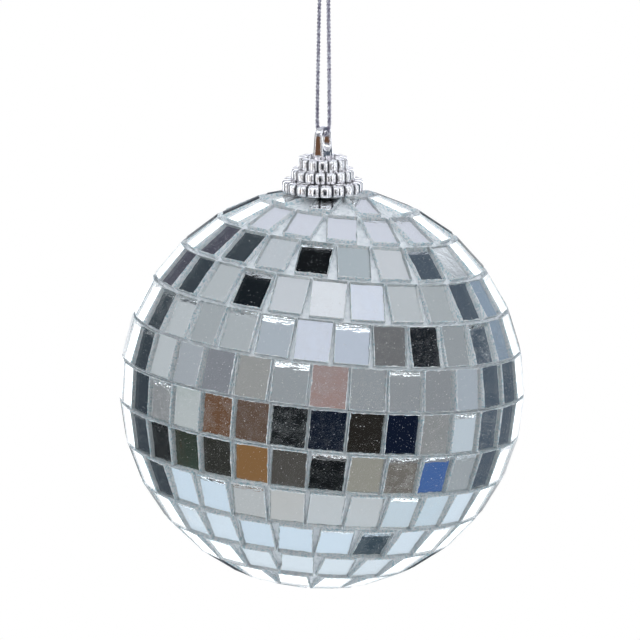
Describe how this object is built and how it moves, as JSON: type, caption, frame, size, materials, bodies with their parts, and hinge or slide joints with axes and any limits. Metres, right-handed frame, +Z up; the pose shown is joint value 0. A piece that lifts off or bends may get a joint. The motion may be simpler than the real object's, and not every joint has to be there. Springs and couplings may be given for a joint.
{
  "type": "hanging mirror ball",
  "caption": "Mirror ball of flat glass tiles in rows on a foam ball, with a beaded crown cap, an eyelet and a metallic cord loop to hang it by.",
  "frame": {"origin": "the hang point inside the top of the cord loop, under its knot", "axes": "+Z up along the cord, away from the ball; -Y towards the front, +X to its right"},
  "size_m": [0.0802, 0.0799, 0.1464],
  "materials": {
    "foam": "expanded foam, matt",
    "glue": "pale set glue",
    "tile_glass": "clear glass with cut, lightly speckled edges",
    "tile_silver": "silvered mirror back",
    "plated_plastic": "silver-plated moulding",
    "metallic_cord": "silver metallic braid"
  },
  "bodies": {
    "cord": {"cord_knot": "metallic_cord", "cord_strand_front": "metallic_cord", "cord_strand_back": "metallic_cord", "cord_tail_front": "metallic_cord", "cord_tail_back": "metallic_cord"},
    "bight": {"cord_bight": "metallic_cord"},
    "ball": {"foam_core": "foam", "glue_coat": "glue", "glass_row_01": "tile_glass", "glass_row_02": "tile_glass", "glass_row_03": "tile_glass", "glass_row_04": "tile_glass", "glass_row_05": "tile_glass", "glass_row_06": "tile_glass", "glass_row_07": "tile_glass", "glass_row_08": "tile_glass", "glass_row_09": "tile_glass", "glass_row_10": "tile_glass", "glass_row_11": "tile_glass", "glass_row_12": "tile_glass", "glass_row_13": "tile_glass", "glass_base": "tile_glass", "silver_row_01": "tile_silver", "silver_row_02": "tile_silver", "silver_row_03": "tile_silver", "silver_row_04": "tile_silver", "silver_row_05": "tile_silver", "silver_row_06": "tile_silver", "silver_row_07": "tile_silver", "silver_row_08": "tile_silver", "silver_row_09": "tile_silver", "silver_row_10": "tile_silver", "silver_row_11": "tile_silver", "silver_row_12": "tile_silver", "silver_row_13": "tile_silver", "silver_base": "tile_silver", "crown_cap": "plated_plastic", "eyelet_peg": "plated_plastic", "peg_glue": "glue"}
  },
  "joints": [
    {"name": "ball_spin", "type": "hinge", "parent": "cord", "child": "bight", "pos_m": [0, 0, -0.0451], "axis": [0, 0, 1], "range_deg": [-180, 180]},
    {"name": "ball_swing", "type": "hinge", "parent": "bight", "child": "ball", "pos_m": [0, 0, -0.0463], "axis": [0.5446, 0.8387, 0], "range_deg": [-30, 30]}
  ]
}
